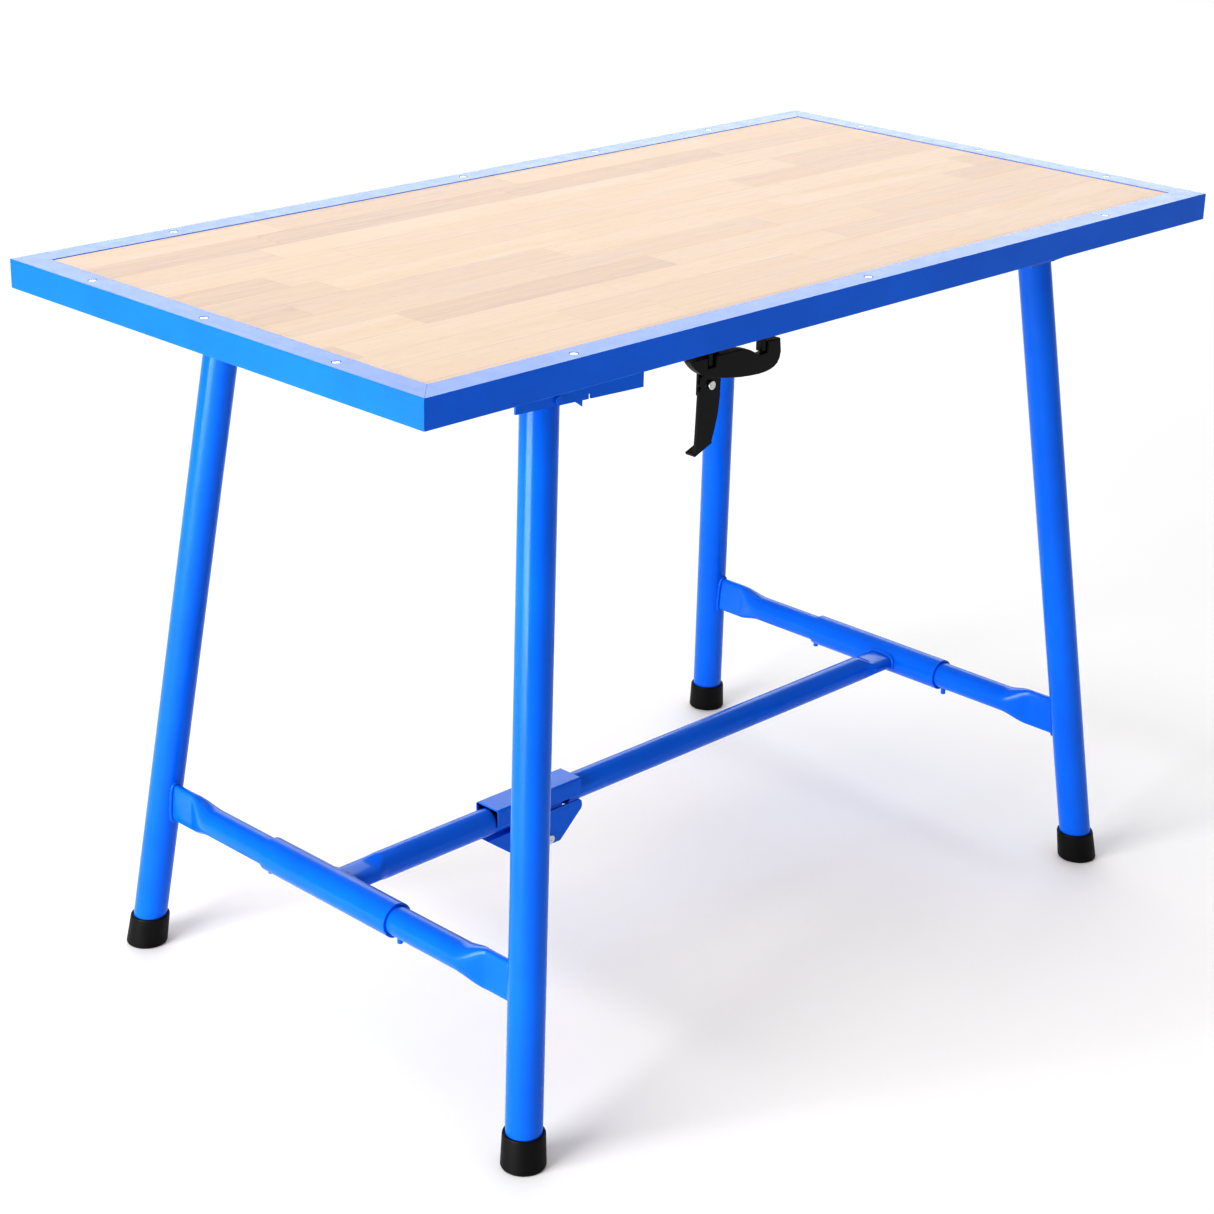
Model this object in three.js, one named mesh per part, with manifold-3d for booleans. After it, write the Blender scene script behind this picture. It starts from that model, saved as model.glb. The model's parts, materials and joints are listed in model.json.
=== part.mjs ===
// Folding worktable: a wood top in a steel angle rim, on two splayed tube leg frames.
// Millimetres, +Z up. The origin is on the floor under the middle of the top.
// X runs along the top. The frame at -X is "left", and the long side at -Y is "near".
import * as THREE from "three";
import { mergeVertices } from "three/addons/utils/BufferGeometryUtils.js";
import Module from "manifold-3d";

const wasm = await Module();
wasm.setup();

const GAP = 0.3;
const HEIGHT = 815;
const TOP_LENGTH = 1200;
const TOP_WIDTH = 625;
const RIM_LEG = 30;
const RIM_WALL = 3;
const UNDERSIDE = HEIGHT - RIM_LEG;
const WOOD_SINK = 0.5;
const WOOD_GAP = 0.6;

const LEG_RADIUS = 19;
const LEG_WALL = 1.8;
const HINGE_HEIGHT = 762;
const FOOT_X = 481.9;
const FOOT_Y = 312.3;
const SPLAY_X = 0.112;
const SPLAY_Y = 0.1037;
const STAGGER = 10;
const HINGE_X = FOOT_X - SPLAY_X * HINGE_HEIGHT;
const HINGE_Y = FOOT_Y - SPLAY_Y * HINGE_HEIGHT;
const BOLT_RADIUS = 3;

const BAR_HEIGHT = 182;
const BAR_RADIUS = 16;
const BAR_X = FOOT_X - SPLAY_X * BAR_HEIGHT;
const BAR_Y = FOOT_Y - SPLAY_Y * BAR_HEIGHT;
const SLEEVE_RADIUS = 19;
const SLEEVE_LENGTH = 203;

const STRETCHER_RADIUS = 15.5;
const STRETCHER_Y = -7;
const SHORT_END = -200;
const LONG_END = -125;
const COVER_ENDS = [-240, -111];
const COVER_WIDTH = 36;
const TROUGH_WIDTH = 29;
const TROUGH_BOTTOM = 130;
const EAR_TOP = 172;
const PIVOT_X = -157;
const PIVOT_Z = 137.5;

const HANDLE_Y = -306.75;
const HANDLE_DEPTH = 10.5;
const HANDLE_PIVOT_Z = 776.5;
const LEVER_X = -225;
const LEVER_Z = 749;
const LEVER_Y = -299.45;

const blue = { color: 0x0a62d8, roughness: 0.3, metalness: 0.2 };
const wood = { color: 0xf2d9b8, roughness: 0.55, metalness: 0 };
const black = { color: 0x151515, roughness: 0.45, metalness: 0 };
const zinc = { color: 0xc9ccd0, roughness: 0.3, metalness: 0.9 };
const rubber = { color: 0x1b1b1b, roughness: 0.8, metalness: 0 };

const bench = new THREE.Group();

function piece(name, look, geometry, parent = bench) {
  const mesh = new THREE.Mesh(geometry, new THREE.MeshStandardMaterial(look));
  mesh.name = name;
  parent.add(mesh);
  return mesh;
}

// A closed geometry as a manifold solid, and back.
function solid(geometry) {
  const bare = geometry.index ? geometry.toNonIndexed() : geometry.clone();
  bare.deleteAttribute("normal");
  bare.deleteAttribute("uv");
  const merged = mergeVertices(bare, 1e-4);
  const mesh = new wasm.Mesh({
    numProp: 3,
    vertProperties: merged.attributes.position.array,
    triVerts: new Uint32Array(merged.index.array),
  });
  return new wasm.Manifold(mesh);
}

function geometryOf(body) {
  const mesh = body.getMesh();
  const geometry = new THREE.BufferGeometry();
  geometry.setAttribute("position", new THREE.BufferAttribute(mesh.vertProperties, 3));
  geometry.setIndex(new THREE.BufferAttribute(mesh.triVerts, 1));
  return geometry;
}

function cut(geometry, ...tools) {
  return geometryOf(tools.reduce((body, tool) => body.subtract(solid(tool)), solid(geometry)));
}

function join(...parts) {
  return geometryOf(parts.map(solid).reduce((all, next) => all.add(next)));
}

function box(x0, x1, y0, y1, z0, z1) {
  const geometry = new THREE.BoxGeometry(x1 - x0, y1 - y0, z1 - z0);
  return geometry.translate((x0 + x1) / 2, (y0 + y1) / 2, (z0 + z1) / 2);
}

// A cylinder along Y, X or Z, centred at the point.
function rod(axis, radius, length, x, y, z, sides = 24) {
  const geometry = new THREE.CylinderGeometry(radius, radius, length, sides);
  if (axis === "x") geometry.rotateZ(Math.PI / 2);
  if (axis === "z") geometry.rotateX(Math.PI / 2);
  return geometry.translate(x, y, z);
}

// A flat outline in X and Z, extruded along Y from y0 to y1.
function plateXZ(points, y0, y1) {
  const shape = new THREE.Shape(points.map(([x, z]) => new THREE.Vector2(x, z)));
  const geometry = new THREE.ExtrudeGeometry(shape, { depth: y1 - y0, bevelEnabled: false });
  return geometry.rotateX(Math.PI / 2).translate(0, y1, 0);
}

// Skins a list of equal rings of points. The last ring joins the first, so the body is an open tube.
function tubeThrough(rings) {
  const count = rings[0].length;
  const index = [];
  rings.forEach((ring, i) => {
    const next = ((i + 1) % rings.length) * count;
    for (let j = 0; j < count; j++) {
      const k = (j + 1) % count;
      const a = i * count;
      index.push(a + j, a + k, next + k, a + j, next + k, next + j);
    }
  });
  const geometry = new THREE.BufferGeometry();
  const flat = rings.flat(2);
  geometry.setAttribute("position", new THREE.Float32BufferAttribute(flat, 3));
  geometry.setIndex(index);
  return geometry;
}

// One ring of a round or flattened tube: half sizes u and v, at a place along its run.
function ovalRing(halfU, halfV, place, sides = 28) {
  const squareness = halfU / halfV > 1.3 || halfV / halfU > 1.3 ? 0.6 : 1;
  return Array.from({ length: sides }, (_, j) => {
    const angle = (2 * Math.PI * j) / sides;
    const c = Math.cos(angle);
    const s = Math.sin(angle);
    const u = halfU * Math.sign(c) * Math.abs(c) ** squareness;
    const v = halfV * Math.sign(s) * Math.abs(s) ** squareness;
    return place(u, v);
  });
}

// A hollow tube whose section changes along its run: stations are [along, halfU, halfV].
function hollowRun(stations, wall, place) {
  const outer = stations.map(([t, u, v]) => ovalRing(u, v, (a, b) => place(t, a, b)));
  const inner = stations.map(([t, u, v]) => ovalRing(u - wall, v - wall, (a, b) => place(t, a, b)));
  return tubeThrough([...outer, ...inner.reverse()]);
}

// The geometry with its faces turned to point outwards.
function rightWayOut(geometry) {
  if (solid(geometry).volume() > 0) return geometry;
  const index = geometry.index.array;
  for (let i = 0; i < index.length; i += 3) {
    [index[i + 1], index[i + 2]] = [index[i + 2], index[i + 1]];
  }
  return geometry;
}

// ---- Top: wood board, four mitred angle rails and their screws ----
const SCREW_INSET = 13.5;
const SCREW_SINK = 0.2;
const SCREW_OUTLINE = [[0, 0], [4, 0], [4, -0.8], [2, -2.8], [2, -15], [0, -16]];
const PILOT_RADIUS = 2.4;
const HOLE_RADIUS = 4.5;
const SCREW_PLACES = {
  left: [190, 12, -180],
  right: [191, 3, -184],
  near: [-408, 8, 419],
  far: [-408, 2, 217, 418],
};
const sideOf = {
  left: { along: TOP_WIDTH, turn: -Math.PI / 2, out: TOP_LENGTH / 2 },
  right: { along: TOP_WIDTH, turn: Math.PI / 2, out: TOP_LENGTH / 2 },
  near: { along: TOP_LENGTH, turn: 0, out: TOP_WIDTH / 2 },
  far: { along: TOP_LENGTH, turn: Math.PI, out: TOP_WIDTH / 2 },
};

function screwSpots() {
  const x = TOP_LENGTH / 2 - SCREW_INSET;
  const y = TOP_WIDTH / 2 - SCREW_INSET;
  return [
    ...SCREW_PLACES.left.map((v, i) => ["left", i + 1, -x, v]),
    ...SCREW_PLACES.right.map((v, i) => ["right", i + 1, x, v]),
    ...SCREW_PLACES.near.map((v, i) => ["near", i + 1, v, -y]),
    ...SCREW_PLACES.far.map((v, i) => ["far", i + 1, v, y]),
  ];
}

// An angle rail with both ends mitred at 45 degrees, outer face towards -Y.
function angleRail(length) {
  const profile = [
    [0, 0], [RIM_LEG, 0], [RIM_LEG, -RIM_WALL], [RIM_WALL, -RIM_WALL],
    [RIM_WALL, -RIM_LEG], [0, -RIM_LEG],
  ];
  const shape = new THREE.Shape(profile.map(([u, v]) => new THREE.Vector2(u, v)));
  const bar = new THREE.ExtrudeGeometry(shape, { depth: length, bevelEnabled: false });
  bar.rotateX(Math.PI / 2).rotateZ(Math.PI / 2).translate(-length / 2, 0, 0);
  const positions = bar.attributes.position;
  for (let i = 0; i < positions.count; i++) {
    const x = positions.getX(i);
    const inset = positions.getY(i) + GAP / 2;
    positions.setX(i, Math.sign(x) * (length / 2 - inset));
  }
  return bar;
}

function buildTop() {
  const spots = screwSpots();
  const pilots = spots.map(([, , x, y]) => rod("z", PILOT_RADIUS, 34, x, y, HEIGHT, 12));
  piece("board", wood, cut(buildBoard(), ...pilots));
  for (const [side, { along, turn, out }] of Object.entries(sideOf)) {
    const rail = rightWayOut(mergeVertices(angleRail(along)));
    rail.translate(0, -out, HEIGHT).rotateZ(turn);
    const own = spots.filter((spot) => spot[0] === side);
    const holes = own.map(([, , x, y]) => rod("z", HOLE_RADIUS, 8, x, y, HEIGHT, 16));
    piece("rim_" + side, blue, cut(rail, ...holes));
  }
  for (const [side, number, x, y] of spots) {
    const points = SCREW_OUTLINE.map(([r, z]) => new THREE.Vector2(r, z)).reverse();
    const screw = new THREE.LatheGeometry(points, 12).rotateX(Math.PI / 2);
    piece("rim_screw_" + side + "_" + number, zinc, screw).position.set(x, y, HEIGHT - SCREW_SINK);
  }
}

// The board lies under the rim's flange, with a raised panel that fills the opening.
function buildBoard() {
  const layer = (margin, bottom, top) => {
    const x = TOP_LENGTH / 2 - margin;
    const y = TOP_WIDTH / 2 - margin;
    return box(-x, x, -y, y, bottom, top);
  };
  const shelf = HEIGHT - RIM_WALL - GAP;
  const base = layer(RIM_WALL + GAP, UNDERSIDE, shelf);
  return join(base, layer(RIM_LEG + WOOD_GAP, shelf - 1, HEIGHT - WOOD_SINK));
}

// ---- Leg hinge brackets: inverted channels under the top, in line with the folded leg ----
const CHEEK_INSIDE = 22.5;
const CHEEK_WALL = 2.5;
const BRACKET_TOP = UNDERSIDE - GAP;
const BRACKET_WEB = 2;
const BRACKET_BOTTOM = 756;

// In its own frame the folded leg runs along +X from the hinge line at the origin.
function bracketShape(from, to, withCatch) {
  const outside = CHEEK_INSIDE + CHEEK_WALL;
  const body = box(from, to, -outside, outside, BRACKET_BOTTOM, BRACKET_TOP);
  const room = box(
    from - 1, to + 1, -CHEEK_INSIDE, CHEEK_INSIDE,
    BRACKET_BOTTOM - 1, BRACKET_TOP - BRACKET_WEB,
  );
  const stop = box(-23.5, -21, -CHEEK_INSIDE - 1, CHEEK_INSIDE + 1, BRACKET_BOTTOM, BRACKET_TOP - 1);
  let shape = join(cut(body, room), stop);
  if (!withCatch) return shape;
  const slot = box(38.5, 41.5, -outside - 1, outside + 1, BRACKET_BOTTOM - 1, BRACKET_BOTTOM + 5);
  const tooth = [[22, BRACKET_BOTTOM + 0.5], [31, BRACKET_BOTTOM + 0.5], [31, BRACKET_BOTTOM - 6]];
  shape = cut(shape, slot);
  for (const y of [-outside, CHEEK_INSIDE]) {
    shape = join(shape, plateXZ(tooth, y, y + CHEEK_WALL));
  }
  return shape;
}

function buildBracket(name, sideX, sideY, x, y, from, to) {
  const shape = bracketShape(from, to, sideX < 0);
  const aim = sideX < 0 ? 0 : Math.PI;
  const yaw = Math.atan(SPLAY_Y) * sideY * -sideX;
  shape.rotateZ(aim + yaw).translate(x, y, 0);
  const bore = rod("y", BOLT_RADIUS + GAP, 80, x, y, HINGE_HEIGHT);
  piece(name, blue, cut(shape, bore));
}

// ---- Leg frames ----
function legPlace(sideX, sideY, centreY) {
  const foot = new THREE.Vector3(sideX * FOOT_X, centreY + sideY * FOOT_Y, 0);
  const up = new THREE.Vector3(-sideX * SPLAY_X, -sideY * SPLAY_Y, 1);
  return { foot, up };
}

function buildLeg(name, sideX, sideY, centreY) {
  const { foot, up } = legPlace(sideX, sideY, centreY);
  const legTop = HINGE_HEIGHT + 6.3;
  const place = (z, u, v) => [foot.x + up.x * z + u, foot.y + up.y * z + v, z];
  const run = [[6, LEG_RADIUS, LEG_RADIUS], [legTop, LEG_RADIUS, LEG_RADIUS]];
  const tube = rightWayOut(hollowRun(run, LEG_WALL, place));
  const hinge = foot.clone().addScaledVector(up, HINGE_HEIGHT);
  const bore = rod("y", BOLT_RADIUS + GAP, 60, hinge.x, hinge.y, HINGE_HEIGHT);
  piece("leg_" + name, blue, cut(tube, bore));
  buildFootCap(name, foot, up);
  buildHingeBolt(name, hinge, sideY);
}

const CAP_HEIGHT = 36;
function buildFootCap(name, foot, up) {
  const inside = LEG_RADIUS + GAP;
  const outline = [
    [0, 0], [20.5, 0], [22.4, 0.6], [23.2, 2.4], [23, 9], [22, CAP_HEIGHT - 2],
    [21.2, CAP_HEIGHT], [inside, CAP_HEIGHT], [inside, 5.6], [0, 5.6],
  ];
  const cap = new THREE.LatheGeometry(outline.map(([r, z]) => new THREE.Vector2(r, z)), 32);
  cap.rotateX(Math.PI / 2);
  const positions = cap.attributes.position;
  for (let i = 0; i < positions.count; i++) {
    const z = positions.getZ(i);
    positions.setX(i, positions.getX(i) + foot.x + up.x * z);
    positions.setY(i, positions.getY(i) + foot.y + up.y * z);
  }
  piece("foot_cap_" + name, rubber, cap);
}

function buildHingeBolt(name, hinge, sideY) {
  const reach = CHEEK_INSIDE + CHEEK_WALL + 1;
  const shank = rod("y", BOLT_RADIUS, 2 * reach + 9, hinge.x, hinge.y, HINGE_HEIGHT, 20);
  const head = rod("y", 5, 2.4, hinge.x, hinge.y + sideY * (reach + 1.2), HINGE_HEIGHT, 24);
  const nutY = hinge.y - sideY * (reach + 2.3);
  const nutRing = rod("y", 5.2, 4.5, hinge.x, nutY, HINGE_HEIGHT, 6);
  const thread = rod("y", BOLT_RADIUS + GAP, 8, hinge.x, nutY, HINGE_HEIGHT, 20);
  const trim = rod("y", 8, 4.4, hinge.x, hinge.y + sideY * (reach + 4.6), HINGE_HEIGHT, 12);
  piece("hinge_bolt_" + name, blue, cut(join(shank, head), trim));
  piece("hinge_nut_" + name, blue, cut(nutRing, thread));
}

// The crossbar's ends are pressed flat, broad faces towards X, and follow the legs' lean.
function buildCrossbar(side, sideX, centreY) {
  const end = BAR_Y - LEG_RADIUS - 0.6;
  const x = sideX * BAR_X;
  const flat = [5, 22.5];
  const round = [BAR_RADIUS, BAR_RADIUS];
  const half = [
    [end, ...flat], [end - 34, ...flat], [end - 42, 8.5, 20.5],
    [end - 56, 13.5, 17.6], [end - 72, ...round],
  ];
  const stations = [...half.map(([t, u, v]) => [-t, u, v]), ...half.reverse()];
  const place = (t, u, v) => {
    const lean = (Math.abs(t) / end) ** 8 * SPLAY_Y * v * Math.sign(t);
    return [x + u, centreY + t - lean, BAR_HEIGHT + v];
  };
  const wall = 1.6;
  piece("crossbar_" + side, blue, rightWayOut(hollowRun(stations, wall, place)));
  const pinZ = BAR_HEIGHT - BAR_RADIUS - GAP - 4;
  for (const [label, way] of [["a", -1], ["b", 1]]) {
    const y = centreY + way * (SLEEVE_LENGTH / 2 + 4);
    piece("stop_pin_" + side + "_" + label, blue, rod("z", 3, 8, x, y, pinZ, 16));
  }
  const sleeveEnd = SLEEVE_LENGTH / 2;
  const sleeveRun = [-sleeveEnd, sleeveEnd].map((t) => [t, SLEEVE_RADIUS, SLEEVE_RADIUS]);
  const sleevePlace = (t, u, v) => [x + u, centreY + t, BAR_HEIGHT + v];
  const sleeve = hollowRun(sleeveRun, SLEEVE_RADIUS - BAR_RADIUS - 0.6, sleevePlace);
  piece("sleeve_" + side, blue, rightWayOut(sleeve));
}

// ---- Stretcher: two tubes that meet in a folded knee ----
function stretcherTube(stations) {
  const place = (t, u, v) => [t, STRETCHER_Y + u, BAR_HEIGHT + v];
  return rightWayOut(hollowRun(stations, 1.6, place));
}

function buildStretcher() {
  const r = STRETCHER_RADIUS;
  const near = BAR_X - SLEEVE_RADIUS - 0.4;
  const mouth = (way) => [[way * near, 20, 8], [way * (near - 28), 20, 8.5], [way * (near - 48), r, r]];
  piece("stretcher_short", blue, stretcherTube([...mouth(-1), [SHORT_END, r, r]]));
  piece("stretcher_long", blue, stretcherTube([[LONG_END, r, r], ...mouth(1).reverse()]));
  buildKneeCover();
  buildKneeTrough();
}

// Folded cover over both tubes, open below.
function buildKneeCover() {
  const half = COVER_WIDTH / 2;
  const wall = 2.1;
  const top = BAR_HEIGHT + STRETCHER_RADIUS + GAP * 2 + wall + 0.2;
  const bottom = BAR_HEIGHT - 2.5;
  const [x0, x1] = COVER_ENDS;
  const body = box(x0, x1, STRETCHER_Y - half, STRETCHER_Y + half, bottom, top);
  const inner = half - wall;
  const room = box(x0 - 1, x1 + 1, STRETCHER_Y - inner, STRETCHER_Y + inner, bottom - 1, top - wall);
  const creaseCut = new THREE.BoxGeometry(200, 3, 3);
  const creases = [-half, half].map((y) => {
    const tool = creaseCut.clone().rotateX(Math.PI / 4);
    return tool.translate((x0 + x1) / 2, STRETCHER_Y + y, top);
  });
  piece("knee_cover", blue, cut(body, room, ...creases));
}

// Folded trough below the tubes, with slanted ends and the pivot bolt near its bottom.
function buildKneeTrough() {
  const half = TROUGH_WIDTH / 2;
  const wall = 2.5;
  const top = BAR_HEIGHT - STRETCHER_RADIUS - GAP;
  const y0 = STRETCHER_Y - half;
  const y1 = STRETCHER_Y + half;
  const low = TROUGH_BOTTOM;
  const outline = [
    [-252, top], [-203, low], [-140, low], [-107, 160], [-106, 164],
    [-107, 169], [-110, EAR_TOP], [-188, EAR_TOP], [-194, top],
  ];
  const inside = [
    [-262, top + 1], [-213, low + wall], [-126, low + wall], [-84, top + 10], [-262, top + 10],
  ];
  const body = plateXZ(outline, y0, y1);
  const room = plateXZ(inside, y0 + wall, y1 - wall);
  const bore = rod("y", BOLT_RADIUS + GAP, 60, PIVOT_X, STRETCHER_Y, PIVOT_Z);
  const tube = rod("x", STRETCHER_RADIUS + GAP, 200, PIVOT_X, STRETCHER_Y, BAR_HEIGHT, 40);
  piece("knee_trough", blue, cut(body, room, bore, tube));
  const shank = rod("y", BOLT_RADIUS, 2 * half + 9, PIVOT_X, STRETCHER_Y + 3, PIVOT_Z, 20);
  const head = rod("y", 5.2, 3, PIVOT_X, y0 - GAP - 1.5, PIVOT_Z, 24);
  const recess = rod("y", 2, 1.6, PIVOT_X, y0 - GAP - 3, PIVOT_Z, 6);
  piece("knee_bolt", zinc, cut(join(shank, head), recess));
  const nut = rod("y", 5.2, 5, PIVOT_X, y1 + GAP + 2.5, PIVOT_Z, 6);
  const clear = rod("y", BOLT_RADIUS + GAP, 60, PIVOT_X, STRETCHER_Y, PIVOT_Z, 20);
  piece("knee_nut", zinc, cut(nut, clear));
  const spacer = rod("y", 5, 2 * (half - wall) - 0.8, PIVOT_X, STRETCHER_Y, PIVOT_Z, 20);
  piece("knee_spacer", zinc, cut(spacer, clear));
}

// ---- Carrying handle and transport catch under the near rail ----
function buildHandle() {
  const y0 = HANDLE_Y - HANDLE_DEPTH / 2;
  const y1 = HANDLE_Y + HANDLE_DEPTH / 2;
  const shape = new THREE.Shape();
  shape.moveTo(-266, 781.5);
  shape.quadraticCurveTo(-258, 769, -241, 762);
  shape.quadraticCurveTo(-205, 752, -168, 750.6);
  shape.bezierCurveTo(-150, 750.6, -137, 753, -136.2, 768);
  shape.lineTo(-138, 781.5);
  shape.lineTo(-155.7, 781.5);
  shape.lineTo(-156.5, 771);
  shape.quadraticCurveTo(-166, 769, -171, 771.6);
  shape.quadraticCurveTo(-183, 780, -195, 781);
  shape.lineTo(-229.5, 781);
  shape.lineTo(-230.5, 770.5);
  shape.lineTo(-241, 770.5);
  shape.lineTo(-242, 781.5);
  const geometry = new THREE.ExtrudeGeometry(shape, {
    depth: HANDLE_DEPTH - 3, curveSegments: 6,
    bevelEnabled: true, bevelSize: 1.2, bevelOffset: -1.2, bevelThickness: 1.5, bevelSegments: 2,
  });
  geometry.rotateX(Math.PI / 2).translate(0, y1 - 1.5, 0);
  const sockets = [[-242, -254], [-155.5, -145]].map(([from, to]) => {
    const past = from + Math.sign(from - to) * 3;
    return rod("x", 2.8, Math.abs(past - to), (past + to) / 2, HANDLE_Y, HANDLE_PIVOT_Z, 16);
  });
  piece("carry_handle", black, cut(geometry, ...sockets));
  buildHandleLug("left", -239.5, -233.5, -252, y0, y1);
  buildHandleLug("right", -163.5, -157.5, -147, y0, y1);
}

function buildHandleLug(name, x0, x1, pinEnd, y0, y1) {
  const block = box(x0, x1, y0 + 1.5, y1 - 1, HANDLE_PIVOT_Z - 4.5, BRACKET_TOP);
  const middle = (x0 + x1) / 2;
  const pinLength = Math.abs(pinEnd - middle);
  const pin = rod("x", 2.4, pinLength, (pinEnd + middle) / 2, HANDLE_Y, HANDLE_PIVOT_Z, 16);
  piece("handle_lug_" + name, black, join(block, pin));
}

function buildCatch() {
  const thick = 2.9;
  const y0 = LEVER_Y - thick / 2;
  const y1 = LEVER_Y + thick / 2;
  const outline = [
    [-237, 760], [-232, 762], [-218, 762], [-213, 760], [-210.5, 754],
    [-211, 735], [-213, 717], [-217.5, 701], [-221, 690.5], [-243.5, 681.5],
    [-242.2, 700], [-240.6, 745], [-237.8, 748], [-240.4, 751], [-240, 756],
  ];
  const lip = [[-220.6, 691.8], [-219.8, 689.6], [-243.4, 680.2], [-244.6, 682.6]];
  const blade = plateXZ(outline, y0, y1);
  const foot = plateXZ(lip, y0, y1 + 9);
  const bore = rod("y", 3.3, 20, LEVER_X, LEVER_Y, LEVER_Z);
  piece("catch_lever", black, cut(join(blade, foot), bore));
  const back = y1 + GAP;
  const plate = box(-239, -211, back, back + 2.8, 740, BRACKET_TOP);
  const flange = box(-239, -211, back, back + 13, BRACKET_TOP - 2.6, BRACKET_TOP);
  piece("catch_bracket", black, cut(join(plate, flange), bore));
  const shank = rod("y", 3, 11.5, LEVER_X, LEVER_Y + 2.2, LEVER_Z, 20);
  const head = rod("y", 4.6, 2.6, LEVER_X, y0 - GAP - 1.3, LEVER_Z, 24);
  piece("catch_screw", zinc, join(shank, head));
}

buildTop();
for (const [side, sideX] of [["left", -1], ["right", 1]]) {
  const centreY = sideX * STAGGER;
  buildCrossbar(side, sideX, centreY);
  for (const [row, sideY] of [["near", -1], ["far", 1]]) {
    const name = side + "_" + row;
    buildLeg(name, sideX, sideY, centreY);
    const span = sideX < 0 ? [-47, 105] : [-103, 46];
    const x = sideX * HINGE_X;
    const y = centreY + sideY * HINGE_Y;
    buildBracket("hinge_bracket_" + name, sideX, sideY, x, y, ...span);
  }
}
buildStretcher();
buildHandle();
buildCatch();

export default bench;
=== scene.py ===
import json
import math
import random
import bmesh
import bpy
from mathutils import Matrix, Vector


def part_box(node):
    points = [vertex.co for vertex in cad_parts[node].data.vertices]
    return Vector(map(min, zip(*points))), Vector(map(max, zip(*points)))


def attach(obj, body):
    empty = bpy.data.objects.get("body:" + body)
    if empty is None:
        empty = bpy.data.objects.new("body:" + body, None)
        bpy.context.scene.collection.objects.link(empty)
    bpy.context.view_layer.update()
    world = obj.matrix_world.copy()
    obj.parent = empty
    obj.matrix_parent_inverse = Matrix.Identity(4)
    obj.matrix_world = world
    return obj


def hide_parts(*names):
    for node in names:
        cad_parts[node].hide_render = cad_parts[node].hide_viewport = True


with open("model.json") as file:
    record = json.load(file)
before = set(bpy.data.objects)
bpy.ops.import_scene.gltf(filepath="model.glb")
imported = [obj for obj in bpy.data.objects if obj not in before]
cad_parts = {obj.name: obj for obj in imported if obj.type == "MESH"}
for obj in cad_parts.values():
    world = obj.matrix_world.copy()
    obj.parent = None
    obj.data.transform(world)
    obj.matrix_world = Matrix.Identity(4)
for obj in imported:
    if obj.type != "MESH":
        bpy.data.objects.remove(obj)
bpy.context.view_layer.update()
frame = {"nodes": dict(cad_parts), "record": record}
random.seed(7)

# Tubes: sizes in metres that follow the CAD. LEG_LEAN is the legs' slope along Y.
LEG_RADIUS = 0.019
LEG_LEAN = 0.1037
LEG_WALL = 0.0018
SLEEVE_WALL = 0.0024
TUBE_WALL = 0.0016
LIP = 0.0004
TUBE_SIDES = 64
# The squareness of a true circle.
ROUND = 1

# A crossbar's end is flat for FLAT_RUN, then grows into the round bar over FLAT_BLEND.
BAR_RADIUS = 0.016
FLAT_THICK = 0.005
FLAT_TALL = 0.0225
FLAT_SQUARENESS = 0.55
FLAT_RUN = 0.034
FLAT_BLEND = 0.040
BLEND_STEPS = 14

# A stretcher's mouth is flat for MOUTH_RUN, then grows into the round tube over MOUTH_BLEND.
STRETCHER_RADIUS = 0.0155
MOUTH_WIDE = 0.020
MOUTH_THIN = 0.008
MOUTH_THROAT = 0.0085
MOUTH_SQUARENESS = 0.6
THROAT_SQUARENESS = 0.65
MOUTH_RUN = 0.028
MOUTH_BLEND = 0.020
MOUTH_STEPS = 10

# Weld beads. WELD_REACH is how far a sleeve's bead lies from the sleeve's middle line.
WELD_RADIUS = 0.0021
WELD_SIDES = 10
WELD_REACH = 0.0194
WELD_CLEAR = 0.0008

# A screw's outline below its rim, as (share of the head's radius, height above the head's top).
SCREW_SIDES = 32
SCREW_OUTLINE = [(0.55, -0.0002), (0.9, 0), (1.0, -0.0003), (0.5, -0.0026), (0.5, -0.015), (0.1, -0.0158)]
CROSS_TOP = -0.0003
CROSS_FLOOR = -0.0014
CROSS_POINT = -0.0016
CROSS_LONG = 0.52
CROSS_SHORT = 0.2
CROSS_TAPER = 0.7

# The board's staves, in metres.
STAVE_WIDTH = 0.046
STAVE_LENGTH = 0.34
SEAM_ALONG = 0.00035
SEAM_ACROSS = 0.0003

# Texture scales: larger is finer.
PAINT_CLOUD = 9
PAINT_SMEAR = 60
PAINT_PEEL = 210
GRAIN_STRETCH = (5, 60, 60)
PORE_STRETCH = (34, 900, 900)
STAVE_SHIFT = 40
RUBBER_DUST = 55
RUBBER_GRAIN = 900
PLASTIC_CLOUD = 80
PLASTIC_GRAIN = 1400
ZINC_SPANGLE = 700
ZINC_GRAIN = 1500
FLOOR_CLOUD = 0.6

WOOD_TONES = [
    (0.24, (0.47, 0.305, 0.22)), (0.4, (0.60, 0.43, 0.315)),
    (0.54, (0.68, 0.50, 0.355)), (0.78, (0.72, 0.545, 0.38)),
]
BLUE_DEEP = (0.0, 0.132, 0.66)
BLUE_LIGHT = (0.0, 0.156, 0.75)
PAINT_ROUGHNESS = (0.2, 0.27)

WORLD_STRENGTH = 0.4
# Each light is (name, place, aim, size, power).
LIGHTS = (
    ("key_left", (-3.7, 0.2, 1.1), (0, 0, 0.4), (2.2, 2.2), 135),
    ("back_soft", (4.6, 5.2, 3.2), (0.1, 0.1, 0.8), (9.0, 3.4), 150),
    ("top_soft", (0.5, 0.8, 4.2), (0.5, 0.6, 0), (4.0, 3.0), 34),
)
LENS = 78.55
CAMERA_AT = (-2.0321, -1.9316, 1.4889)
CAMERA_AIM = (-0.3697244, -0.3107561, 0.5618869)
CAMERA_ROLL = 1.3458
FLOOR_HALF = 30

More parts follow.
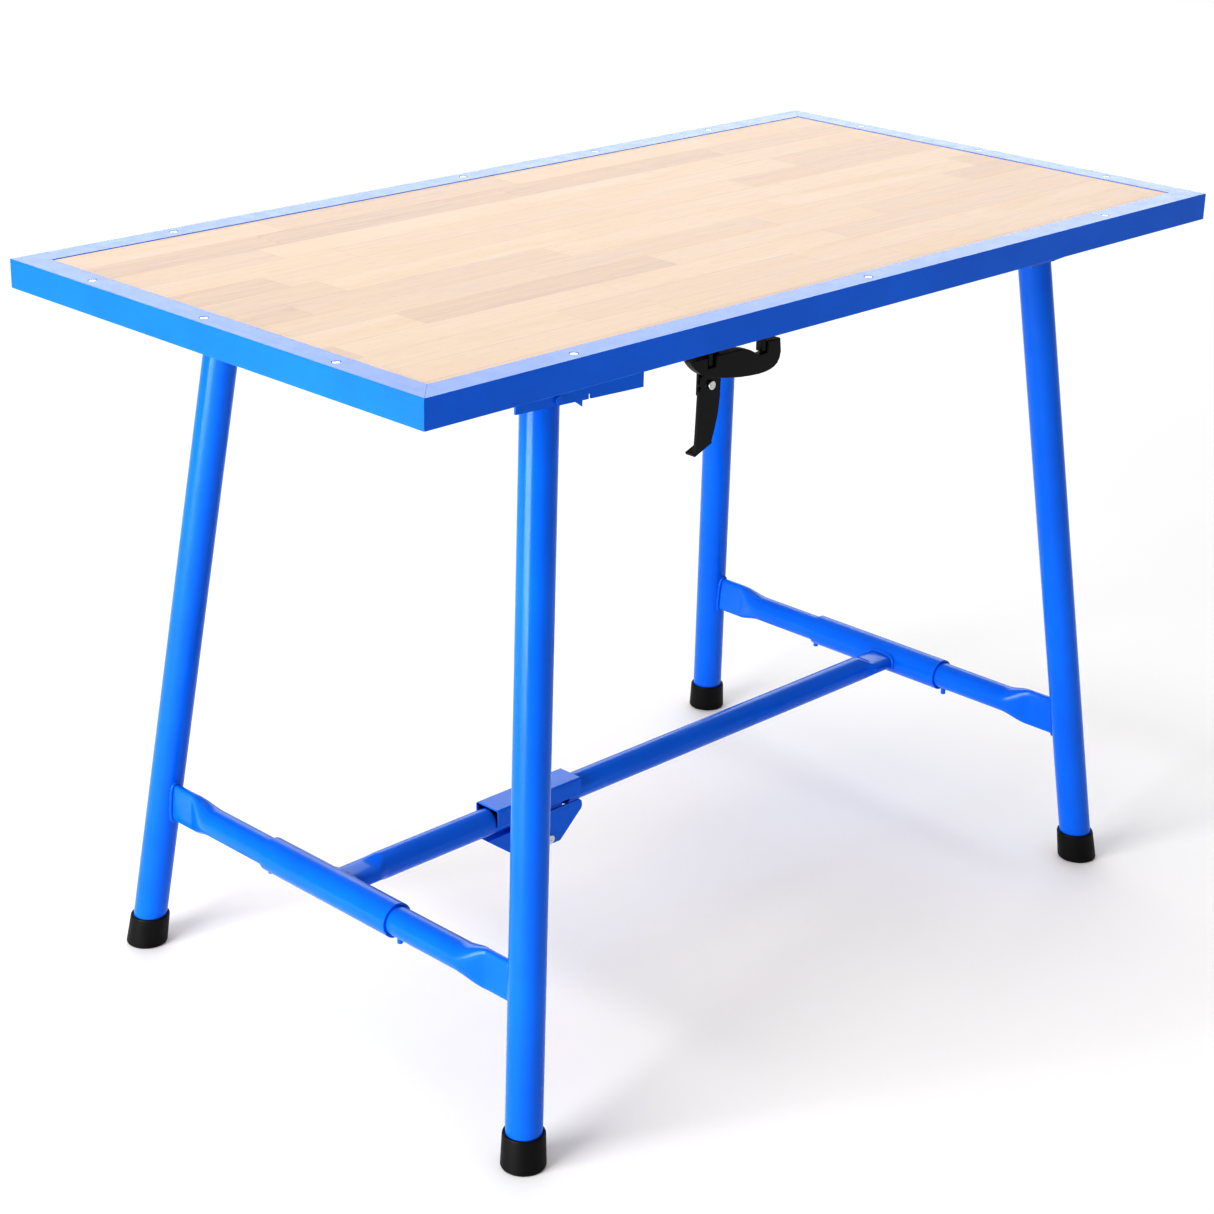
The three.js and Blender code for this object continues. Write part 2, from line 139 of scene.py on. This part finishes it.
nodes = frame["nodes"]
bodies = frame["record"]["behaviour"]["bodies"]
slot_of = {row["node"]: row["material_slot"] for row in frame["record"]["subparts"]}


def body_name(node):
    return next(name for name, members in bodies.items() if node in members)


# ---- Materials ----

# Adds a shader node, sets its properties and values, and links its inputs.
def add(tree, kind, links=None, values=None, **props):
    made = tree.nodes.new("ShaderNode" + kind)
    for key, value in props.items():
        setattr(made, key, value)
    for key, value in (values or {}).items():
        made.inputs[key].default_value = value
    for key, source in (links or {}).items():
        tree.links.new(source, made.inputs[key])
    return made


def maths(tree, operation, a, b=None):
    made = tree.nodes.new("ShaderNodeMath")
    made.operation = operation
    for i, value in enumerate((a, b)):
        if isinstance(value, (int, float)):
            made.inputs[i].default_value = value
        elif value is not None:
            tree.links.new(value, made.inputs[i])
    return made.outputs[0]


def ramp(tree, source, stops):
    made = add(tree, "ValToRGB", {"Fac": source})
    while len(made.color_ramp.elements) < len(stops):
        made.color_ramp.elements.new(0.5)
    for element, (position, colour) in zip(made.color_ramp.elements, stops):
        element.position = position
        element.color = (*colour, 1)
    return made.outputs["Color"]


def blank(name):
    material = bpy.data.materials.new(name)
    material.use_nodes = True
    tree = material.node_tree
    return material, tree, tree.nodes["Principled BSDF"]


def place(tree):
    return add(tree, "TexCoord").outputs["Object"]


def noise(tree, where, scale, detail=4, rough=0.55):
    values = {"Scale": scale, "Detail": detail, "Roughness": rough}
    return add(tree, "TexNoise", {"Vector": where}, values).outputs["Fac"]


def stretched(tree, where, scale, offset):
    made = add(tree, "Mapping", {"Vector": where}, {"Scale": scale})
    shift = add(tree, "VectorMath", {0: made.outputs["Vector"], 1: offset}, operation="ADD")
    return shift.outputs["Vector"]


def coloured(tree, bsdf, source, low, high):
    stops = [(low[0], low[1]), (high[0], high[1])]
    tree.links.new(ramp(tree, source, stops), bsdf.inputs["Base Color"])


def roughened(tree, bsdf, source, low, high):
    stops = [(low[0], (low[1],) * 3), (high[0], (high[1],) * 3)]
    tree.links.new(ramp(tree, source, stops), bsdf.inputs["Roughness"])


# A colour multiplied by another, by a share that is a number or a socket.
def multiplied(tree, share, colour, by):
    made = add(tree, "Mix", data_type="RGBA", blend_type="MULTIPLY")
    factor, first, second = made.inputs[0], made.inputs[6], made.inputs[7]
    tree.links.new(colour, first)
    if isinstance(share, (int, float)):
        factor.default_value = share
    else:
        tree.links.new(share, factor)
    if isinstance(by, tuple):
        second.default_value = by
    else:
        tree.links.new(by, second)
    return made.outputs[2]


def bumped(tree, bsdf, height, strength, distance):
    made = add(tree, "Bump", {"Height": height}, {"Strength": strength, "Distance": distance})
    tree.links.new(made.outputs["Normal"], bsdf.inputs["Normal"])


def paint_material():
    material, tree, bsdf = blank("blue_gloss_paint")
    where = place(tree)
    coloured(tree, bsdf, noise(tree, where, PAINT_CLOUD), (0.3, BLUE_DEEP), (0.7, BLUE_LIGHT))
    smear = noise(tree, where, PAINT_SMEAR, 3)
    roughened(tree, bsdf, smear, (0.35, PAINT_ROUGHNESS[0]), (0.7, PAINT_ROUGHNESS[1]))
    bumped(tree, bsdf, noise(tree, where, PAINT_PEEL, 2), 0.2, 0.00003)
    bsdf.inputs["Specular IOR Level"].default_value = 0.22
    bsdf.inputs["Coat Weight"].default_value = 0.12
    bsdf.inputs["Coat Roughness"].default_value = 0.05
    return material


# Staves run along X, each cut into blocks. Every block has its own tone and its own stretch of grain.
def wood_material():
    material, tree, bsdf = blank("beech_staves")
    where = place(tree)
    axes = add(tree, "SeparateXYZ", {"Vector": where}).outputs
    across = maths(tree, "DIVIDE", axes["Y"], STAVE_WIDTH)
    stave = maths(tree, "FLOOR", across)
    stave_random = add(tree, "TexWhiteNoise", {"W": stave}, noise_dimensions="1D").outputs["Value"]
    stagger = maths(tree, "MULTIPLY", stave_random, 9)
    along = maths(tree, "ADD", maths(tree, "DIVIDE", axes["X"], STAVE_LENGTH), stagger)
    block = maths(tree, "FLOOR", along)
    block_id = add(tree, "CombineXYZ", {"X": stave, "Y": block}).outputs["Vector"]
    block_noise = add(tree, "TexWhiteNoise", {"Vector": block_id}, noise_dimensions="3D").outputs
    shifted = add(tree, "VectorMath", {0: block_noise["Color"]}, {"Scale": STAVE_SHIFT}, operation="SCALE")
    shift = shifted.outputs["Vector"]
    grain = noise(tree, stretched(tree, where, GRAIN_STRETCH, shift), 1.0, 7, 0.62)
    pores = noise(tree, stretched(tree, where, PORE_STRETCH, shift), 1.0, 3, 0.6)
    block_tone = maths(tree, "MULTIPLY", block_noise["Value"], 0.21)
    grain_tone = maths(tree, "MULTIPLY", grain, 0.79)
    colour = ramp(tree, maths(tree, "ADD", block_tone, grain_tone), WOOD_TONES)
    streak = ramp(tree, pores, [(0.3, (0.72, 0.72, 0.72)), (0.48, (1, 1, 1))])
    streaked = multiplied(tree, 0.45, colour, streak)
    edge_y = seam(tree, across, STAVE_WIDTH, SEAM_ALONG)
    edge_x = seam(tree, along, STAVE_LENGTH, SEAM_ACROSS)
    joint = maths(tree, "MAXIMUM", edge_y, edge_x)
    jointed = multiplied(tree, maths(tree, "MULTIPLY", joint, 0.4), streaked, (0.55, 0.4, 0.28, 1))
    tree.links.new(jointed, bsdf.inputs["Base Color"])
    roughened(tree, bsdf, grain, (0.3, 0.36), (0.7, 0.5))
    relief = maths(tree, "SUBTRACT", maths(tree, "MULTIPLY", pores, 0.4), joint)
    bumped(tree, bsdf, relief, 0.25, 0.0003)
    return material


# 1 on a thin line at each whole number of the measure, 0 elsewhere.
def seam(tree, measure, size, half):
    distance = maths(tree, "PINGPONG", measure, 0.5)
    return maths(tree, "LESS_THAN", distance, half / size)


def rubber_material():
    material, tree, bsdf = blank("foot_rubber")
    where = place(tree)
    dust = noise(tree, where, RUBBER_DUST, 5)
    coloured(tree, bsdf, dust, (0.35, (0.002, 0.002, 0.002)), (0.75, (0.006, 0.006, 0.0055)))
    roughened(tree, bsdf, dust, (0.3, 0.42), (0.7, 0.62))
    bsdf.inputs["Specular IOR Level"].default_value = 0.25
    bumped(tree, bsdf, noise(tree, where, RUBBER_GRAIN, 3), 0.3, 0.0001)
    return material


# Black plastic and black lacquer differ only in how rough they are.
def black_material(name, rough):
    material, tree, bsdf = blank(name)
    where = place(tree)
    cloud = noise(tree, where, PLASTIC_CLOUD)
    coloured(tree, bsdf, cloud, (0.3, (0.0012, 0.0012, 0.0012)), (0.7, (0.003, 0.003, 0.003)))
    roughened(tree, bsdf, cloud, (0.3, rough), (0.7, rough + 0.14))
    grains = add(tree, "TexVoronoi", {"Vector": where}, {"Scale": PLASTIC_GRAIN}).outputs["Distance"]
    bsdf.inputs["Specular IOR Level"].default_value = 0.3
    bumped(tree, bsdf, grains, 0.18, 0.0001)
    return material


def zinc_material():
    material, tree, bsdf = blank("bright_zinc")
    where = place(tree)
    spangle = add(tree, "TexVoronoi", {"Vector": where}, {"Scale": ZINC_SPANGLE}).outputs["Color"]
    grey = add(tree, "RGBToBW", {"Color": spangle}).outputs["Val"]
    coloured(tree, bsdf, grey, (0.2, (0.60, 0.60, 0.61)), (0.8, (0.82, 0.82, 0.80)))
    roughened(tree, bsdf, grey, (0.2, 0.22), (0.8, 0.38))
    bsdf.inputs["Metallic"].default_value = 1
    bumped(tree, bsdf, noise(tree, where, ZINC_GRAIN, 2), 0.15, 0.0002)
    return material


materials = {
    "blue_paint": paint_material(),
    "beech_board": wood_material(),
    "rubber_cap": rubber_material(),
    "black_plastic": black_material("moulded_plastic", 0.3),
    "black_steel": black_material("black_lacquer", 0.16),
    "zinc_fixing": zinc_material(),
}


# ---- Shaping ----

def link(name, mesh, slot, body):
    thing = bpy.data.objects.new(name, mesh)
    bpy.context.scene.collection.objects.link(thing)
    thing.data.materials.clear()
    thing.data.materials.append(materials[slot])
    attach(thing, body)
    return thing


# Smooth shading, with edges sharper than the angle kept crisp.
def smooth(mesh, degrees=32):
    mesh.shade_smooth()
    mesh.set_sharp_from_angle(angle=math.radians(degrees))


# The node's own shape with its sharp edges rounded. along keeps the rounding to edges in one direction.
def rounded(node, radius, along=None):
    shape = bmesh.new()
    shape.from_mesh(nodes[node].data)
    bmesh.ops.remove_doubles(shape, verts=shape.verts, dist=2e-6)
    bmesh.ops.dissolve_limit(shape, angle_limit=math.radians(0.6), verts=shape.verts, edges=shape.edges)
    chosen = []
    for edge in shape.edges:
        if len(edge.link_faces) != 2 or edge.calc_face_angle(0) < math.radians(34):
            continue
        way = (edge.verts[0].co - edge.verts[1].co).normalized()
        if along is None or abs(way.dot(Vector(along))) > 0.9:
            chosen.append(edge)
    bmesh.ops.bevel(
        shape, geom=chosen, offset=radius, segments=3, profile=0.5, affect="EDGES", clamp_overlap=True,
    )
    mesh = bpy.data.meshes.new(node + "_shape")
    shape.to_mesh(mesh)
    shape.free()
    smooth(mesh)
    piece = link(node + "_finished", mesh, slot_of[node], body_name(node))
    piece.modifiers.new("even_shading", "WEIGHTED_NORMAL").keep_sharp = True
    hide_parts(node)
    return piece


# A surface through rings of equal count. A loop joins the last ring to the first.
def skin(name, rings, loop, slot, body, replaced, degrees):
    count = len(rings[0])
    verts = [point for ring in rings for point in ring]
    faces = []
    pairs = len(rings) if loop else len(rings) - 1
    for i in range(pairs):
        start = i * count
        after = ((i + 1) % len(rings)) * count
        for j in range(count):
            k = (j + 1) % count
            faces.append((start + j, start + k, after + k, after + j))
    mesh = bpy.data.meshes.new(name + "_shape")
    mesh.from_pydata(verts, [], faces)
    tidy = bmesh.new()
    tidy.from_mesh(mesh)
    bmesh.ops.recalc_face_normals(tidy, faces=tidy.faces)
    tidy.to_mesh(mesh)
    tidy.free()
    smooth(mesh, degrees)
    piece = link(name, mesh, slot, body)
    if replaced:
        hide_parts(replaced)
    return piece


# Squareness 1 is a true oval, and less than 1 has squarer corners.
def oval(half_u, half_v, squareness):
    points = []
    for j in range(TUBE_SIDES):
        angle = 2 * math.pi * j / TUBE_SIDES
        c = math.cos(angle)
        s = math.sin(angle)
        u = half_u * math.copysign(abs(c) ** squareness, c)
        v = half_v * math.copysign(abs(s) ** squareness, s)
        points.append((u, v))
    return points


def eased(share):
    return share * share * (3 - 2 * share)


def between(start, stop, share):
    return start + (stop - start) * share


# An open tube with a chamfered lip at each end. Stations are (along, half u, half v, squareness).
def hollow(name, stations, wall, spot, body, replaced):
    first = stations[0]
    last = stations[-1]
    step = math.copysign(LIP, last[0] - first[0])
    outer = [(first[0], first[1] - LIP, first[2] - LIP, first[3]), (first[0] + step, *first[1:])]
    outer += list(stations[1:-1])
    outer += [(last[0] - step, *last[1:]), (last[0], last[1] - LIP, last[2] - LIP, last[3])]
    inner = [(t, u - wall, v - wall, q) for t, u, v, q in reversed(stations)]
    rings = [[spot(t, u, v) for u, v in oval(a, b, q)] for t, a, b, q in outer + inner]
    return skin(name, rings, True, "blue_paint", body, replaced, 40)


# A weld bead round a closed path, with a slightly uneven thickness.
def bead(name, path, radius, body):
    rings = []
    count = len(path)
    for i, point in enumerate(path):
        ahead = (Vector(path[(i + 1) % count]) - Vector(path[i - 1])).normalized()
        side = ahead.orthogonal().normalized()
        up = ahead.cross(side)
        ripple = radius * (1 + 0.12 * math.sin(i * 1.9) + random.uniform(-0.06, 0.06))
        ring = []
        for j in range(WELD_SIDES):
            angle = 2 * math.pi * j / WELD_SIDES
            ring.append(Vector(point) + (side * math.cos(angle) + up * math.sin(angle)) * ripple)
        rings.append(ring)
    return skin(name, steady(rings), True, "blue_paint", body, None, 60)


# Turns each ring of a bead so that it lines up with the one before.
def steady(rings):
    lined = [rings[0]]
    for ring in rings[1:]:
        before = lined[-1]
        count = len(ring)
        best = min(
            range(count),
            key=lambda s: sum((ring[(j + s) % count] - before[j]).length for j in range(count)),
        )
        lined.append(ring[best:] + ring[:best])
    return lined


def middle(node):
    low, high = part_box(node)
    return (Vector(low) + Vector(high)) / 2


# ---- Pieces ----

def build_top():
    rounded("board", 0.0006)
    for rail in ("near", "far"):
        rounded("rim_" + rail, 0.0011, (1, 0, 0))
    for rail in ("left", "right"):
        rounded("rim_" + rail, 0.0011, (0, 1, 0))
    for node in nodes:
        if node.startswith("rim_screw"):
            build_screw(node)


# A countersunk screw with a cross recess, on the CAD screw's place.
def build_screw(node):
    low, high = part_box(node)
    centre = middle(node)
    top = high[2]
    radius = (high[0] - low[0]) / 2
    # This draw isn't used, but the ripples of the weld beads are drawn after it.
    random.uniform(0, math.pi)

    def ring(shares, z):
        spots = []
        for j, share in enumerate(shares):
            angle = 2 * math.pi * j / SCREW_SIDES
            spots.append((
                centre.x + radius * share * math.cos(angle),
                centre.y + radius * share * math.sin(angle),
                z,
            ))
        return spots

    cross = [CROSS_LONG if j % 8 in (0, 1, 7) else CROSS_SHORT for j in range(SCREW_SIDES)]
    rings = [
        ring([0] * SCREW_SIDES, top + CROSS_POINT),
        ring([share * CROSS_TAPER for share in cross], top + CROSS_FLOOR),
        ring(cross, top + CROSS_TOP),
    ]
    rings += [ring([share] * SCREW_SIDES, top + drop) for share, drop in SCREW_OUTLINE]
    rings.append(ring([0] * SCREW_SIDES, low[2]))
    piece = skin(node + "_finished", rings, False, "zinc_fixing", "top", node, 28)
    merge(piece.data)


# Joins the points that lie on each other.
def merge(mesh):
    weld = bmesh.new()
    weld.from_mesh(mesh)
    bmesh.ops.remove_doubles(weld, verts=weld.verts, dist=1e-7)
    weld.to_mesh(mesh)
    weld.free()


# A leg leans along X and Y, so its middle line crosses its box from corner to corner.
def build_leg(node):
    low, high = (Vector(corner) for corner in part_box(node))
    centre = (low + high) / 2
    way = Vector((math.copysign(1, centre.x), math.copysign(1, centre.y)))
    half = (high - low) / 2
    reach = Vector((way.x * (half.x - LEG_RADIUS), way.y * (half.y - LEG_RADIUS)))

    def spot(z, u, v):
        share = (centre.z - z) / half.z
        return (centre.x + reach.x * share + u, centre.y + reach.y * share + v, z)

    stations = [(z, LEG_RADIUS, LEG_RADIUS, ROUND) for z in (low.z, high.z)]
    hollow(node + "_finished", stations, LEG_WALL, spot, body_name(node), node)


# A round bar whose ends are squeezed flat and cut to the slope of the legs.
def build_crossbar(side):
    node = "crossbar_" + side
    low, high = (Vector(corner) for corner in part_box(node))
    centre = (low + high) / 2
    end = (high.y - low.y) / 2 - LEG_LEAN * FLAT_TALL

    def spot(t, u, v):
        slope = (abs(t) / end) ** 8 * LEG_LEAN * v * math.copysign(1, t)
        return (centre.x + u, centre.y + t - slope, centre.z + v)

    flat = (FLAT_THICK, FLAT_TALL, FLAT_SQUARENESS)
    half = [(end, *flat), (end - FLAT_RUN, *flat)]
    for i in range(1, BLEND_STEPS + 1):
        share = i / BLEND_STEPS
        half.append((
            end - FLAT_RUN - FLAT_BLEND * share,
            between(FLAT_THICK, BAR_RADIUS, eased(share ** 0.7)),
            between(FLAT_TALL, BAR_RADIUS, eased(share)),
            between(FLAT_SQUARENESS, ROUND, eased(share)),
        ))
    stations = [(-t, u, v, q) for t, u, v, q in half] + half[::-1]
    hollow(node + "_finished", stations, TUBE_WALL, spot, side + "_frame", node)
    outline = oval(FLAT_THICK + 0.0012, FLAT_TALL + WELD_CLEAR, 0.6)
    for tag, way in (("near", -1), ("far", 1)):
        path = [spot(way * (end + 0.0004), u, v) for u, v in outline]
        bead("crossbar_weld_" + side + "_" + tag, path, WELD_RADIUS, side + "_frame")


def build_sleeve(side):
    node = "sleeve_" + side
    low, high = (Vector(corner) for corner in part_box(node))
    centre = (low + high) / 2
    radius = (high.x - low.x) / 2

    def spot(t, u, v):
        return (centre.x + u, t, centre.z + v)

    stations = [(y, radius, radius, ROUND) for y in (low.y, high.y)]
    hollow(node + "_finished", stations, SLEEVE_WALL, spot, body_name(node), node)


# A stretcher half, flattened where it is welded to its sleeve. way is 1 when the sleeve is on the right.
def build_stretcher(node, sleeve, way):
    low, high = (Vector(corner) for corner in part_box(node))
    y = (low.y + high.y) / 2
    z = (low.z + high.z) / 2
    mouth = high.x if way > 0 else low.x
    inner = low.x if way > 0 else high.x
    stations = [
        (mouth, MOUTH_WIDE, MOUTH_THIN, MOUTH_SQUARENESS),
        (mouth - way * MOUTH_RUN, MOUTH_WIDE, MOUTH_THROAT, THROAT_SQUARENESS),
    ]
    for i in range(1, MOUTH_STEPS + 1):
        share = i / MOUTH_STEPS
        grown = eased(share)
        stations.append((
            mouth - way * (MOUTH_RUN + MOUTH_BLEND * share),
            between(MOUTH_WIDE, STRETCHER_RADIUS, grown),
            between(MOUTH_THROAT, STRETCHER_RADIUS, grown),
            between(THROAT_SQUARENESS, ROUND, grown),
        ))
    stations.append((inner, STRETCHER_RADIUS, STRETCHER_RADIUS, ROUND))

    def spot(t, u, v):
        return (t, y + u, z + v)

    hollow(node + "_finished", stations, TUBE_WALL, spot, body_name(node), node)
    axis = middle(sleeve)
    path = []
    for u, v in oval(MOUTH_WIDE + WELD_CLEAR, MOUTH_THIN + WELD_CLEAR, THROAT_SQUARENESS):
        path.append((axis.x - way * math.sqrt(WELD_REACH ** 2 - v ** 2), y + u, z + v))
    bead(sleeve + "_weld", path, WELD_RADIUS * 1.15, body_name(node))


build_top()
for side in ("left", "right"):
    build_crossbar(side)
    build_sleeve(side)
    for row in ("near", "far"):
        tag = side + "_" + row
        build_leg("leg_" + tag)
        rounded("foot_cap_" + tag, 0.0008)
        rounded("hinge_bracket_" + tag, 0.0006)
        rounded("hinge_bolt_" + tag, 0.0005)
        rounded("hinge_nut_" + tag, 0.0004)
    for tag in ("a", "b"):
        rounded("stop_pin_" + side + "_" + tag, 0.0004)
    rounded("handle_lug_" + side, 0.0005)
build_stretcher("stretcher_short", "sleeve_left", -1)
build_stretcher("stretcher_long", "sleeve_right", 1)
for name, radius in (
    ("knee_cover", 0.0008), ("knee_trough", 0.0008), ("knee_bolt", 0.0006), ("knee_nut", 0.0004),
    ("knee_spacer", 0.0003), ("carry_handle", 0.0006), ("catch_bracket", 0.0005),
    ("catch_lever", 0.0006), ("catch_screw", 0.0006),
):
    rounded(name, radius)


# ---- Stage, lights and camera ----

def build_floor():
    mesh = bpy.data.meshes.new("floor_shape")
    corners = [(x * FLOOR_HALF, y * FLOOR_HALF, 0) for x, y in ((-1, -1), (1, -1), (1, 1), (-1, 1))]
    mesh.from_pydata(corners, [], [(0, 1, 2, 3)])
    floor = bpy.data.objects.new("floor", mesh)
    bpy.context.scene.collection.objects.link(floor)
    material, tree, bsdf = blank("pale_floor")
    cloud = noise(tree, place(tree), FLOOR_CLOUD, 3)
    coloured(tree, bsdf, cloud, (0.3, (0.93, 0.93, 0.93)), (0.7, (0.95, 0.95, 0.95)))
    bsdf.inputs["Roughness"].default_value = 0.9
    bsdf.inputs["Specular IOR Level"].default_value = 0.1
    mesh.materials.append(material)


def area_light(name, at, aim, size, power):
    data = bpy.data.lights.new(name, "AREA")
    data.shape = "RECTANGLE"
    data.size = size[0]
    data.size_y = size[1]
    data.energy = power
    lamp = bpy.data.objects.new(name, data)
    lamp.location = at
    lamp.rotation_euler = (Vector(aim) - Vector(at)).to_track_quat("-Z", "Y").to_euler()
    bpy.context.scene.collection.objects.link(lamp)


def build_lights():
    world = bpy.data.worlds.new("studio")
    world.use_nodes = True
    background = world.node_tree.nodes["Background"]
    background.inputs["Color"].default_value = (1, 1, 1, 1)
    background.inputs["Strength"].default_value = WORLD_STRENGTH
    bpy.context.scene.world = world
    bpy.context.scene.view_settings.view_transform = "Standard"
    bpy.context.scene.view_settings.look = "High Contrast"
    for light in LIGHTS:
        area_light(*light)


def build_camera():
    data = bpy.data.cameras.new("camera")
    data.sensor_width = 36
    data.lens = LENS
    camera = bpy.data.objects.new("camera", data)
    camera.location = CAMERA_AT
    aim = (Vector(CAMERA_AIM) - Vector(CAMERA_AT)).to_track_quat("-Z", "Y").to_matrix()
    camera.rotation_euler = (aim @ Matrix.Rotation(math.radians(CAMERA_ROLL), 3, "Z")).to_euler()
    bpy.context.scene.collection.objects.link(camera)
    bpy.context.scene.camera = camera


build_floor()
build_lights()
build_camera()
